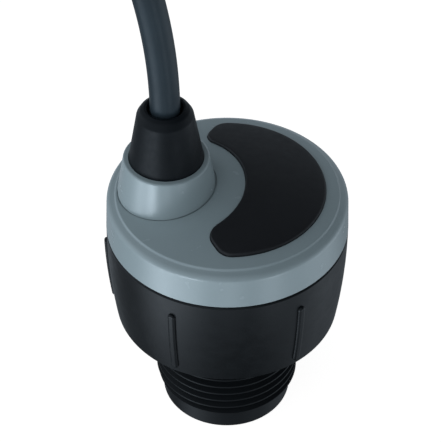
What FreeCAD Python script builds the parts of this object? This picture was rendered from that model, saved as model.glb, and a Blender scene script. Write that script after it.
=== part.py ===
import FreeCAD, Part
import math
import os
import re
import Sketcher
from FreeCAD import Placement, Rotation, Vector

# Ultrasonic distance sensor: a two-tone cylindrical head on a G1 threaded neck.
# Millimetres. The origin is the centre of the sensing face, +Z runs up the thread axis
# and the cable boss stands on the -X side.

# Driving dimensions: alias, value, what it is.
DIMENSIONS = [
    # Threaded barrel, from the sensing face up
    ("pilot_radius", 15.1, "smooth pilot band, just inside the crests of a G1 socket"),
    ("pilot_length", 4.8, "height of the pilot band"),
    ("thread_radius", 16.62, "G1 major radius"),
    ("thread_root", 15.15, "G1 minor radius"),
    ("thread_pitch", 2.309, "G1 pitch, 11 turns to the inch"),
    ("thread_flat", 0.39, "width of the thread's root"),
    ("thread_start", 5.5, "middle of the thread's root where it begins, on +X"),
    ("relief_height", 26.5, "where the thread runs out below the shoulder"),
    ("shoulder_height", 28.0, "mounting shoulder under the housing"),
    ("edge_break", 0.15, "small chamfer on outer edges"),
    ("face_bore", 13.2, "bore that holds the transducer"),
    ("face_bore_depth", 18.0, "depth of that bore"),
    ("spigot_radius", 13.8, "barrel spigot through the housing floor"),
    ("spigot_bore", 11.2, "bore through the spigot"),
    ("spigot_height", 35.0, "top of the spigot"),
    # Transducer
    ("matching_radius", 12.3, "matching layer and backing block"),
    ("matching_height", 4.5, "top of the matching layer"),
    ("piezo_radius", 9.0, "piezo disc"),
    ("piezo_height", 8.5, "top of the piezo disc"),
    ("backing_height", 15.0, "top of the backing block and its sleeve"),
    ("lead_hole", 0.6, "hole for a transducer lead"),
    ("lead_offset", 5.0, "transducer leads from the axis"),
    ("bead_radius", 1.1, "thermistor bead"),
    ("bead_height", 18.4, "centre of the bead"),
    ("bead_offset", 8.0, "bead from the axis, towards +Y"),
    ("bead_room", 0.3, "room for potting round the bead"),
    ("bead_lead", 0.25, "lead of the bead"),
    ("bead_lead_offset", 0.4, "that lead from the bead's middle"),
    # Seals
    ("shoulder_ring_radius", 19.2, "ring under the housing, to its tube's centre"),
    ("shoulder_ring_tube", 0.95, "that ring's tube"),
    ("barrel_ring_radius", 13.3, "ring on the spigot"),
    ("barrel_ring_tube", 0.53, "that ring's tube"),
    ("barrel_ring_height", 29.5, "that ring's height"),
    ("cap_ring_radius", 22.4, "ring on the cap's skirt"),
    ("cap_ring_tube", 0.77, "that ring's tube"),
    ("cap_ring_height", 50.15, "that ring's height"),
    ("seal_slack", 0.02, "under a ring in its groove"),
    ("seal_play", 0.1, "above and below a ring in its groove"),
    ("nut_radius", 17.5, "outside of the barrel nut"),
    ("nut_height", 3.0, "height of the barrel nut"),
    ("notch_floor", 16.2, "bottom of a spanner notch, from the axis"),
    ("notch_width", 3.0, "spanner notch"),
    # Housing
    ("floor_height", 31.0, "inside floor of the housing"),
    ("foot_radius", 25.38, "outside of the housing at its foot"),
    ("seam_radius", 26.72, "outside of the housing and the cap at the seam"),
    ("seam_height", 52.0, "middle of the seam"),
    ("seam_gap", 0.4, "width of the shadow gap at the seam"),
    ("wall_swell", 150.0, "radius of the housing's slightly swollen wall line"),
    ("cavity_radius", 23.2, "inside of the housing"),
    ("rib_count", 5, "grip ribs, the middle one under the boss"),
    ("rib_spread", 62.4, "angle between neighbouring ribs, in degrees"),
    ("rib_width", 1.7, "width of a grip rib"),
    ("rib_rise", 0.65, "how far a rib stands out"),
    ("rib_foot", 1.7, "plain wall left below a rib"),
    ("rib_head", 4.6, "plain wall left above a rib"),
    ("rib_phase", 145.2, "angle of the first rib from -Y, in degrees"),
    ("post_circle", 20.4, "radius on which the board posts stand"),
    ("post_phase", -27.6, "angle of the first post from +X, in degrees"),
    ("post_radius", 2.5, "board post"),
    # Cap
    ("wall_top_radius", 26.33, "where the lines of the wall and the shoulder meet"),
    ("wall_top_height", 60.05, "height of that corner"),
    ("shoulder_roll", 1.5, "rounding of that corner"),
    ("step_radius", 24.6, "foot of the small step round the dome"),
    ("step_height", 60.85, "height of that foot"),
    ("step_round", 0.3, "rounding of the step's foot and crest"),
    ("crease_radius", 24.33, "edge of the domed top"),
    ("crease_height", 61.27, "height of that edge"),
    ("crown_height", 64.03, "top of the dome"),
    ("dome_wall", 2.6, "thickness of the dome"),
    ("skirt_radius", 23.1, "outside of the cap's skirt in the housing"),
    ("skirt_bore", 20.2, "inside of that skirt"),
    ("skirt_height", 48.5, "lower edge of the skirt"),
    # Crescent pad
    ("pad_outer_radius", 21.4, "outer edge of the crescent, about the cap's axis"),
    ("pad_inner_radius", 16.8, "hollow edge of the crescent"),
    ("pad_inner_offset", 12.9, "centre of the hollow edge, towards -X"),
    ("pad_tip_inner", 5.25, "inner corner of a tip, towards -X"),
    ("pad_tip_outer", 1.6, "outer corner of a tip, towards -X"),
    ("pad_inner_round", 3.6, "rounding of the inner corner"),
    ("pad_outer_round", 3.7, "rounding of the outer corner"),
    ("pad_rise", 0.7, "how far the pad stands above the dome"),
    ("pad_depth", 1.0, "how deep the pad sits in the dome"),
    ("pad_gap", 0.08, "gap round the pad in its recess"),
    # Boss, gland and boot
    ("boss_offset", 13.1, "boss axis, towards -X"),
    ("boss_foot_radius", 10.75, "boss where it meets the dome"),
    ("boss_foot_height", 62.6, "height of that radius"),
    ("boss_rim_radius", 9.25, "outside of the boss at its rim"),
    ("boss_rim_height", 71.3, "rim of the boss"),
    ("boss_rim_round", 0.45, "rounding of that rim"),
    ("boss_bore", 8.15, "socket for the boot"),
    ("crease_width", 0.5, "groove that frames the boss's foot"),
    ("crease_depth", 0.35, "depth of that groove below the dome"),
    ("boss_floor_height", 66.0, "floor of the boot socket"),
    ("gland_roof_height", 63.6, "roof of the gland socket under the boss"),
    ("gland_tube_radius", 8.6, "outside of the gland socket"),
    ("gland_bore", 6.9, "inside of the gland socket"),
    ("gland_foot_height", 54.4, "lower edge of the gland socket"),
    ("gland_nut_height", 58.8, "top of the gland nut"),
    ("throat_radius", 3.6, "cable hole between the two sockets"),
    ("boot_edge_radius", 6.0, "boot at its top edge"),
    ("boot_lip_radius", 4.4, "outside of the boot's lip"),
    ("boot_mouth_radius", 3.75, "opening round the cable"),
    ("boot_edge_height", 83.6, "height of that edge"),
    ("boot_top_height", 84.9, "lip of the boot, level with the cable hinge"),
    # Cable
    ("jacket_radius", 3.2, "outside of the cable"),
    ("jacket_bore", 2.5, "inside of the jacket"),
    ("shield_bore", 2.3, "inside of the shield"),
    ("core_radius", 0.75, "insulated conductor"),
    ("core_offset", 0.82, "conductor from the cable's axis, each way"),
    ("strand_radius", 0.45, "bare end of a conductor"),
    ("bend_radius", 140.0, "curve in which the free cable leans"),
    ("free_angle", 28.0, "angle of that curve, in degrees"),
    ("strip_angle", 5.0, "angle over which the conductors stand bare of jacket"),
    ("strand_angle", 1.6, "angle over which the strands stand bare"),
    ("tail_height", 53.4, "lower end of the jacket inside the cap"),
    ("slip", 0.1, "running gap between loose pieces"),
    # Boards
    ("board_radius", 22.4, "both circuit boards"),
    ("board_thickness", 1.6, "both circuit boards"),
    ("power_board_height", 36.0, "underside of the lower board"),
    ("logic_board_height", 45.0, "underside of the upper board"),
    ("post_hole", 1.1, "screw hole in a post or a standoff"),
    ("post_hole_depth", 4.5, "depth of that hole in a post"),
    ("board_hole", 1.2, "screw hole in a board"),
    ("shank_radius", 1.05, "shank of a screw or a standoff"),
    ("shank_length", 3.5, "shank of a screw below the upper board"),
    ("stud_length", 4.0, "stud of a standoff, and the hole in its top"),
    ("standoff_radius", 2.3, "standoff between the boards"),
    ("head_radius", 2.1, "screw head"),
    ("head_rim", 0.9, "height of the head's straight rim"),
    ("head_height", 1.4, "height of the head"),
    ("socket_radius", 0.8, "drive recess in the head"),
    ("socket_floor", 0.5, "floor of that recess above the board"),
    ("coil_offset", 3.2, "winding from the transformer's middle"),
    ("transformer_y", 9.0, "transformer's middle"),
    ("can_offset", 12.5, "reservoir capacitor from the middle of the board"),
    ("can_radius", 2.6, "reservoir capacitor"),
    ("can_height", 6.0, "reservoir capacitor"),
    ("header_y", -12.0, "middle of the pin header"),
    ("pin_radius", 0.35, "pin of the header"),
    ("pin_pitch", 2.0, "spacing of those pins"),
    ("pin_reach", 0.8, "pin beyond each board"),
    ("pin_bore", 0.36, "hole for a pin in the header"),
    ("via_radius", 0.45, "hole for a pin in a board"),
    ("plug_height", 49.0, "centre of the wires in the plug"),
    ("plug_pitch", 2.0, "spacing of the wires in the plug"),
    ("plug_face", 2.5, "where the wires enter the plug, along X"),
]

BOLTS = 3
NOTCHES = 6
PINS = 5
WIRES = 4
DIRECTION_Z = Vector(0, 0, 1)
ALIASES = [entry[0] for entry in DIMENSIONS]

doc = FreeCAD.newDocument("UltrasonicSensor")
dims = doc.addObject("Spreadsheet::Sheet", "Dims")
sub_parts = []


def fill_sheet():
    """Writes each driving dimension as a plain number with its alias."""
    for row, (alias, value, note) in enumerate(DIMENSIONS, start=1):
        dims.set("A%d" % row, note)
        dims.set("B%d" % row, str(value))
        dims.setAlias("B%d" % row, alias)
    doc.recompute()


def size(expression):
    """The number that an expression of aliases stands for now."""
    return float(dims.evalExpression(str(expression)))


def bound(expression):
    """The same expression with each alias addressed through the sheet."""
    def address(match):
        word = match.group(0)
        return "Dims." + word if word in ALIASES else word
    return re.sub(r"[a-z_]+", address, str(expression))


def keep(item, label):
    """Names a finished sub-part; its label is its file's name."""
    item.Label = label
    sub_parts.append(item)
    return item


# --- sketches and features of a body ---------------------------------------------------

def new_body(label, phase=None):
    """An empty body, turned about Z by the angle that phase names."""
    body = doc.addObject("PartDesign::Body", label)
    body.AllowCompound = True
    if phase:
        body.Placement = Placement(Vector(), Rotation(DIRECTION_Z, size(phase)))
        body.setExpression("Placement.Rotation.Angle", bound(phase))
    return keep(body, label)


def origin_feature(body, role):
    return next(item for item in body.Origin.OriginFeatures if item.Role == role)


def new_sketch(body, name, plane, offset=("0", "0", "0")):
    """A sketch on one of the body's origin planes, shifted by three expressions."""
    sketch = body.newObject("Sketcher::SketchObject", name)
    sketch.AttachmentSupport = [(origin_feature(body, plane), "")]
    sketch.MapMode = "FlatFace"
    sketch.AttachmentOffset = Placement(Vector(*[size(part) for part in offset]), Rotation())
    for axis, part in zip("xyz", offset):
        if part != "0":
            sketch.setExpression("AttachmentOffset.Base." + axis, bound(part))
    return sketch


def pin_point(sketch, point, x, y):
    """Holds a sketch point at two expressions; zero means on the sketch's own axis."""
    for kind, axis, expression in (("DistanceX", -2, x), ("DistanceY", -1, y)):
        if expression == "0":
            sketch.addConstraint(Sketcher.Constraint("PointOnObject", *point, axis))
            continue
        datum = Sketcher.Constraint(kind, -1, 1, *point, size(expression))
        index = sketch.addConstraint(datum)
        sketch.setExpression("Constraints[%d]" % index, bound(expression))


def arc_between(first, last):
    """An arc from first to last whose centre is on the vertical axis.
    Returns the arc and which of its ends are first and last."""
    rise = 2 * (last.y - first.y)
    height = (last.x ** 2 + last.y ** 2 - first.x ** 2 - first.y ** 2) / rise
    centre = Vector(0, height, 0)
    circle = Part.Circle(centre, DIRECTION_Z, (first - centre).Length)
    start, end = circle.parameter(first), circle.parameter(last)
    if (first - centre).cross(last - centre).z > 0:
        return Part.ArcOfCircle(circle, start, end), 1, 2
    return Part.ArcOfCircle(circle, end, start), 2, 1


def swollen_arc(first, last, radius):
    """An upright arc from first up to last that swells away from the vertical axis."""
    half = (last - first) / 2
    inward = Vector(-half.y, half.x, 0).normalize()
    centre = first + half + inward * math.sqrt(radius ** 2 - half.Length ** 2)
    circle = Part.Circle(centre, DIRECTION_Z, radius)
    return Part.ArcOfCircle(circle, circle.parameter(first), circle.parameter(last))


def outline(sketch, corners):
    """A closed outline through corners given as (x, y) expressions. A corner that ends
    in "arc" starts an arc centred on the vertical axis, and one that ends in another
    expression starts an upright arc of that radius; the others start a line."""
    points = [Vector(size(corner[0]), size(corner[1]), 0) for corner in corners]
    starts, ends = [], []
    for index, corner in enumerate(corners):
        first, last = points[index], points[(index + 1) % len(points)]
        if corner[2:] == ("arc",):
            arc, start, end = arc_between(first, last)
            edge = sketch.addGeometry(arc, False)
            sketch.addConstraint(Sketcher.Constraint("PointOnObject", edge, 3, -2))
        elif corner[2:]:
            start, end = 1, 2
            radius = size(corner[2])
            edge = sketch.addGeometry(swollen_arc(first, last, radius), False)
            datum = sketch.addConstraint(Sketcher.Constraint("Radius", edge, radius))
            sketch.setExpression("Constraints[%d]" % datum, bound(corner[2]))
        else:
            start, end = 1, 2
            edge = sketch.addGeometry(Part.LineSegment(first, last), False)
        starts.append((edge, start))
        ends.append((edge, end))
    for index, point in enumerate(starts):
        sketch.addConstraint(Sketcher.Constraint("Coincident", *ends[index - 1], *point))
        pin_point(sketch, point, corners[index][0], corners[index][1])


def circle(sketch, x, y, radius):
    """A full circle held at (x, y) with its radius bound to the sheet."""
    centre = Vector(size(x), size(y), 0)
    edge = sketch.addGeometry(Part.Circle(centre, DIRECTION_Z, size(radius)), False)
    pin_point(sketch, (edge, 3), x, y)
    index = sketch.addConstraint(Sketcher.Constraint("Radius", edge, size(radius)))
    sketch.setExpression("Constraints[%d]" % index, bound(radius))


def turned(body, name, corners, axis_at="0", cut=False):
    """Revolves an outline in the XZ plane about a vertical axis at X = axis_at."""
    sketch = new_sketch(body, name + "_outline", "XZ_Plane", (axis_at, "0", "0"))
    outline(sketch, corners)
    kind = "PartDesign::Groove" if cut else "PartDesign::Revolution"
    feature = body.newObject(kind, name)
    feature.Profile = sketch
    feature.ReferenceAxis = (sketch, ["V_Axis"])
    feature.Angle = 360
    return feature


def ring(inner, outer, low, high):
    """Corners of a plain turned ring or disc."""
    return [(inner, low), (outer, low), (outer, high), (inner, high)]


def drilled(body, name, x, y, radius, top, depth):
    """A round blind or through hole cut down from the height top."""
    doc.recompute()
    before = body.Shape.Volume
    sketch = new_sketch(body, name + "_outline", "XY_Plane", ("0", "0", top))
    circle(sketch, x, y, radius)
    feature = body.newObject("PartDesign::Pocket", name)
    feature.Profile = sketch
    feature.setExpression("Length", bound(depth))
    doc.recompute()
    if body.Shape.Volume >= before:
        raise RuntimeError("%s cuts nothing" % name)
    return feature


def around(body, name, feature, count, sweep="360"):
    """Repeats a feature evenly over an angle about Z; the pattern becomes the body's tip."""
    doc.recompute()
    pattern = body.newObject("PartDesign::PolarPattern", name)
    pattern.Originals = [feature]
    pattern.Axis = (origin_feature(body, "Z_Axis"), [""])
    pattern.setExpression("Angle", bound(sweep))
    pattern.setExpression("Occurrences", bound(count))
    body.Tip = pattern
    doc.recompute()
    return pattern


def edges_at(shape, test):
    """Names of the edges for which test(edge) is true."""
    return ["Edge%d" % (index + 1) for index, edge in enumerate(shape.Edges) if test(edge)]


def rounded(body, name, radius, test):
    """Fillets the chosen edges of the body as it stands."""
    doc.recompute()
    base = body.Tip
    feature = body.newObject("PartDesign::Fillet", name)
    feature.Base = (base, edges_at(base.Shape, test))
    feature.setExpression("Radius", bound(radius))
    doc.recompute()
    return feature


def is_level_circle(edge, radii, heights, slack=0.02):
    """True for a round edge with one of the radii at the height that goes with it."""
    if edge.Degenerated or not isinstance(edge.Curve, Part.Circle):
        return False
    curve = edge.Curve
    return any(abs(curve.Radius - size(radius)) < slack
               and abs(curve.Center.z - size(height)) < slack
               for radius, height in zip(radii, heights))


def seal_slot(body, which, floor, outside):
    """The groove of one of the sliding O-rings, cut from outside down to its floor."""
    height, half = which + "_ring_height", "(%s_ring_tube + seal_play)" % which
    turned(body, "seal_groove", ring(floor, outside, "%s - %s" % (height, half),
                                     "%s + %s" % (height, half)), cut=True)


# --- threaded barrel and the transducer in its end ---------------------------------------

def threaded_barrel():
    """Neck with the G1 thread, the pilot band, and a spigot through the housing floor."""
    body = new_body("threaded_barrel")
    lead = "pilot_length + thread_radius - pilot_radius"
    turned(body, "neck", [
        ("face_bore", "0"),
        ("pilot_radius - edge_break", "0"),
        ("pilot_radius", "edge_break"),
        ("pilot_radius", "pilot_length"),
        ("thread_radius", lead),
        ("thread_radius", "relief_height"),
        ("thread_root", "relief_height"),
        ("thread_root", "shoulder_height"),
        ("spigot_radius", "shoulder_height"),
        ("spigot_radius", "spigot_height"),
        ("spigot_bore", "spigot_height"),
        ("spigot_bore", "face_bore_depth"),
        ("face_bore", "face_bore_depth"),
    ])
    seal_slot(body, "barrel", "barrel_ring_radius - barrel_ring_tube - seal_slack",
              "spigot_radius + 1")
    doc.recompute()
    plain = body.Shape.Volume
    depth = "(thread_radius - thread_root)"
    flank = depth + " * tan(27.5)"
    sketch = new_sketch(body, "thread_outline", "XZ_Plane")
    outline(sketch, [
        ("thread_root", "thread_start - thread_flat / 2"),
        ("thread_root", "thread_start + thread_flat / 2"),
        ("thread_radius + " + depth, "thread_start + thread_flat / 2 + 2 * " + flank),
        ("thread_radius + " + depth, "thread_start - thread_flat / 2 - 2 * " + flank),
    ])
    thread = body.newObject("PartDesign::SubtractiveHelix", "thread")
    thread.Profile = sketch
    thread.ReferenceAxis = (sketch, ["V_Axis"])
    thread.Mode = "pitch-height-angle"
    thread.setExpression("Pitch", bound("thread_pitch"))
    thread.setExpression("Height", bound("relief_height - thread_start"))
    doc.recompute()
    if body.Shape.Volume >= plain:
        raise RuntimeError("the thread cuts nothing")


def transducer():
    """Matching layer, piezo disc, decoupling sleeve, backing block and potting."""
    turned(new_body("matching_layer"), "disc", ring("0", "matching_radius", "0", "matching_height"))
    turned(new_body("piezo_disc"), "disc", ring("0", "piezo_radius", "matching_height",
                                              "piezo_height"))
    sleeve = new_body("decoupling_sleeve")
    turned(sleeve, "wall", ring("matching_radius + slip / 2", "face_bore - slip / 2", "0",
                               "backing_height"))
    backing = new_body("backing_block")
    turned(backing, "block", [
        ("piezo_radius + slip", "matching_height + slip"),
        ("matching_radius - slip", "matching_height + slip"),
        ("matching_radius - slip", "backing_height - slip"),
        ("0", "backing_height - slip"),
        ("0", "piezo_height + slip"),
        ("piezo_radius + slip", "piezo_height + slip"),
    ])
    potting = new_body("potting_plug")
    turned(potting, "plug", [
        ("0", "backing_height + slip"),
        ("face_bore - slip", "backing_height + slip"),
        ("face_bore - slip", "face_bore_depth - slip"),
        ("spigot_bore - slip", "face_bore_depth - slip"),
        ("spigot_bore - slip", "floor_height"),
        ("0", "floor_height"),
    ])
    for side, x in (("left", "-lead_offset"), ("right", "lead_offset")):
        drilled(backing, side + "_lead_hole", x, "0", "lead_hole", "backing_height - slip",
                "backing_height - piezo_height - 2 * slip")
        drilled(potting, side + "_lead_hole", x, "0", "lead_hole", "floor_height",
                "floor_height - backing_height - slip")
    drilled(potting, "sensor_pocket", "0", "bead_offset", "bead_radius + bead_room",
            "floor_height", "floor_height - bead_height + bead_radius + bead_room")
    leads = [rod("lead", x, "0", "lead_hole - slip", "piezo_height", "power_board_height")
             for x in ("-lead_offset", "lead_offset")]
    group("transducer_leads", leads)


def rod(name, x, y, radius, low, high):
    """A plain upright cylinder between two heights."""
    item = doc.addObject("Part::Cylinder", name)
    item.setExpression("Radius", bound(radius))
    item.setExpression("Height", bound("(%s) - (%s)" % (high, low)))
    for axis, part in (("x", x), ("y", y), ("z", low)):
        item.setExpression("Placement.Base." + axis, bound(part))
    return item


def block(name, x, y, z, length, width, height):
    """A box centred on (x, y) that stands on the height z."""
    item = doc.addObject("Part::Box", name)
    item.setExpression("Length", bound(length))
    item.setExpression("Width", bound(width))
    item.setExpression("Height", bound(height))
    item.setExpression("Placement.Base.x", bound("(%s) - (%s) / 2" % (x, length)))
    item.setExpression("Placement.Base.y", bound("(%s) - (%s) / 2" % (y, width)))
    item.setExpression("Placement.Base.z", bound(z))
    return item


def group(label, items):
    """Several separate solids that share one node."""
    compound = doc.addObject("Part::Compound", label)
    compound.Links = items
    return keep(compound, label)


def cut(label, base, tools):
    """base with every tool taken away."""
    fused = tools[0]
    if len(tools) > 1:
        fused = doc.addObject("Part::MultiFuse", label + "_tools")
        fused.Shapes = tools
    item = doc.addObject("Part::Cut", label)
    item.Base = base
    item.Tool = fused
    return item


def torus(label, radius, tube, height):
    """An O-ring about the main axis."""
    item = doc.addObject("Part::Torus", label)
    item.setExpression("Radius1", bound(radius))
    item.setExpression("Radius2", bound(tube))
    item.setExpression("Placement.Base.z", bound(height))
    return keep(item, label)


def thermistor():
    """Bead and its two leads, for the speed of sound at the air's temperature."""
    bead = doc.addObject("Part::Sphere", "thermistor")
    bead.setExpression("Radius", bound("bead_radius"))
    bead.setExpression("Placement.Base.y", bound("bead_offset"))
    bead.setExpression("Placement.Base.z", bound("bead_height"))
    keep(bead, "thermistor")
    leads = [rod("thermistor_lead", x, "bead_offset", "bead_lead", "bead_height + bead_radius",
                 "power_board_height")
             for x in ("-bead_lead_offset", "bead_lead_offset")]
    group("thermistor_leads", leads)


# --- housing -------------------------------------------------------------------------------

def rib_slot(sketch):
    """A long slot: two uprights joined by half circles, one rib wide."""
    half = size("rib_width") / 2
    low = size("shoulder_height + rib_foot") + half
    high = size("seam_height - rib_head") - half
    right = sketch.addGeometry(Part.LineSegment(Vector(half, low, 0), Vector(half, high, 0)), False)
    top_circle = Part.Circle(Vector(0, high, 0), DIRECTION_Z, half)
    top = sketch.addGeometry(Part.ArcOfCircle(top_circle, 0, math.pi), False)
    left = sketch.addGeometry(Part.LineSegment(Vector(-half, high, 0), Vector(-half, low, 0)), False)
    foot_circle = Part.Circle(Vector(0, low, 0), DIRECTION_Z, half)
    foot = sketch.addGeometry(Part.ArcOfCircle(foot_circle, math.pi, 2 * math.pi), False)
    for first, second in ((right, top), (top, left), (left, foot), (foot, right)):
        sketch.addConstraint(Sketcher.Constraint("Tangent", first, 2, second, 1))
    pin_point(sketch, (foot, 3), "0", "shoulder_height + rib_foot + rib_width / 2")
    pin_point(sketch, (top, 3), "0", "seam_height - rib_head - rib_width / 2")
    index = sketch.addConstraint(Sketcher.Constraint("Radius", foot, half))
    sketch.setExpression("Constraints[%d]" % index, bound("rib_width / 2"))


def housing():
    """Ribbed cup with the barrel's hole, the seal groove and three board posts."""
    body = new_body("housing", "rib_phase")
    rim = "seam_height - seam_gap / 2"
    turned(body, "wall", [
        ("spigot_radius + slip", "shoulder_height"),
        ("foot_radius - edge_break", "shoulder_height"),
        ("foot_radius", "shoulder_height + edge_break", "wall_swell"),
        ("seam_radius", rim + " - 2 * edge_break"),
        ("seam_radius - 2 * edge_break", rim),
        ("spigot_radius + slip", rim),
    ])
    sketch = new_sketch(body, "rib_outline", "XZ_Plane")
    rib_slot(sketch)
    rib = body.newObject("PartDesign::Pad", "rib")
    rib.Profile = sketch
    rib.setExpression("Length", bound("seam_radius + 2 * rib_rise"))
    around(body, "ribs", rib, "rib_count", "rib_spread * (rib_count - 1)")
    turned(body, "rib_trim", [
        ("foot_radius + rib_rise", "shoulder_height", "wall_swell + rib_rise"),
        ("seam_radius + rib_rise", "seam_height"),
        ("seam_radius + 4 * rib_rise", "seam_height"),
        ("seam_radius + 4 * rib_rise", "shoulder_height"),
    ], cut=True)
    rounded(body, "rib_edges", "0.8 * rib_rise", is_rib_edge)
    turned(body, "cavity", ring("0", "cavity_radius", "floor_height", "seam_height"), cut=True)
    turned(body, "barrel_hole", ring("0", "spigot_radius + slip", "shoulder_height - 1",
                                     "seam_height"), cut=True)
    half_groove = "(shoulder_ring_tube + 0.35)"
    turned(body, "face_groove", ring("shoulder_ring_radius - %s" % half_groove,
                                     "shoulder_ring_radius + %s" % half_groove,
                                     "shoulder_height - 1",
                                     "shoulder_height + 1.6 * shoulder_ring_tube"), cut=True)
    posts = new_sketch(body, "post_outline", "XY_Plane", ("0", "0", "floor_height - 0.5"))
    x = "post_circle * cos(post_phase - rib_phase)"
    y = "post_circle * sin(post_phase - rib_phase)"
    circle(posts, x, y, "post_radius")
    post = body.newObject("PartDesign::Pad", "post")
    post.Profile = posts
    post.setExpression("Length", bound("power_board_height - floor_height + 0.5"))
    around(body, "posts", post, BOLTS)
    hole = drilled(body, "post_hole", x, y, "post_hole", "power_board_height",
                   "post_hole_depth")
    around(body, "post_holes", hole, BOLTS)


def wall_radius(height):
    """Outside of the housing's plain wall at a height."""
    foot = Vector(size("foot_radius"), size("shoulder_height + edge_break"), 0)
    head = Vector(size("seam_radius"), size("seam_height - seam_gap / 2 - 2 * edge_break"), 0)
    arc = swollen_arc(foot, head, size("wall_swell"))
    return arc.Center.x + math.sqrt(arc.Radius ** 2 - (height - arc.Center.y) ** 2)


def is_rib_edge(edge):
    """True for the outer border of a rib's face."""
    low = size("shoulder_height + rib_foot") - 0.1
    high = size("seam_height - rib_head") + 0.1
    for vertex in (edge.Vertexes[0], edge.Vertexes[-1]):
        point = vertex.Point
        if not low < point.z < high:
            return False
        if math.hypot(point.x, point.y) < wall_radius(point.z) + size("rib_rise") / 2:
            return False
    return True


def seals_and_nut():
    """O-rings at the shoulder, the barrel and the cap, and the nut that clamps the barrel."""
    torus("shoulder_o_ring", "shoulder_ring_radius", "shoulder_ring_tube", "shoulder_height + 0.5")
    torus("barrel_o_ring", "barrel_ring_radius", "barrel_ring_tube", "barrel_ring_height")
    torus("cap_o_ring", "cap_ring_radius", "cap_ring_tube", "cap_ring_height")
    nut = new_body("barrel_nut")
    top = "floor_height + nut_height"
    turned(nut, "collar", ring("spigot_radius + slip / 2", "nut_radius", "floor_height", top))
    notch = new_sketch(nut, "notch_outline", "XY_Plane", ("0", "0", top))
    outline(notch, ring("notch_floor", "nut_radius + 1", "-notch_width / 2", "notch_width / 2"))
    slot = nut.newObject("PartDesign::Pocket", "notch")
    slot.Profile = notch
    slot.setExpression("Length", bound("nut_height"))
    around(nut, "notches", slot, NOTCHES)


# --- cap, pad, boss, gland and boot ----------------------------------------------------------

def dome(lift):
    """Corners of the domed surface, raised by lift, from its edge to the axis."""
    return [("crease_radius", "crease_height + (%s)" % lift, "arc"),
            ("0", "crown_height + (%s)" % lift)]


def cap_shell():
    """Domed cap with its skirt, the boss, and the gland socket that hangs under it."""
    body = doc.addObject("PartDesign::Body", "cap_shell")
    edge = "seam_height + seam_gap / 2"
    roof = "crown_height - dome_wall"
    turned(body, "shell", [
        ("skirt_bore", "skirt_height"),
        ("skirt_radius - 2 * edge_break", "skirt_height"),
        ("skirt_radius", "skirt_height + 2 * edge_break"),
        ("skirt_radius", edge),
        ("seam_radius - edge_break", edge),
        ("seam_radius", edge + " + edge_break"),
        ("wall_top_radius", "wall_top_height"),
        ("step_radius", "step_height"),
    ] + dome("0") + [
        ("0", roof, "arc"),
        ("crease_radius - dome_wall", "crease_height - dome_wall"),
        ("wall_top_radius - dome_wall", "wall_top_height - 2"),
        ("wall_top_radius - dome_wall", "seam_height + 3.5"),
        ("skirt_bore", "seam_height + 1"),
    ])
    rounded(body, "step_edges", "step_round", lambda edge: is_level_circle(
        edge, ("step_radius", "crease_radius"), ("step_height", "crease_height")))
    rounded(body, "shoulder_edge", "shoulder_roll", lambda edge: is_level_circle(
        edge, ("wall_top_radius",), ("wall_top_height",)))
    seal_slot(body, "cap", "cap_ring_radius - cap_ring_tube - seal_slack", "skirt_radius + 1")
    turned(body, "boss", [
        ("0", "gland_foot_height"),
        ("gland_tube_radius", "gland_foot_height"),
        ("gland_tube_radius", "boss_foot_height - 2"),
        ("boss_foot_radius", "boss_foot_height - 0.8"),
        ("boss_foot_radius", "boss_foot_height"),
        ("boss_rim_radius", "boss_rim_height"),
        ("0", "boss_rim_height"),
    ], axis_at="-boss_offset")
    rounded(body, "boss_rim_edge", "boss_rim_round", lambda edge: is_level_circle(
        edge, ("boss_rim_radius",), ("boss_rim_height",)))
    turned(body, "sockets", [
        ("0", "gland_foot_height - 1"),
        ("gland_bore", "gland_foot_height - 1"),
        ("gland_bore", "gland_roof_height"),
        ("throat_radius", "gland_roof_height"),
        ("throat_radius", "boss_floor_height"),
        ("boss_bore", "boss_floor_height"),
        ("boss_bore", "boss_rim_height + 1"),
        ("0", "boss_rim_height + 1"),
    ], axis_at="-boss_offset", cut=True)
    return body


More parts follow.
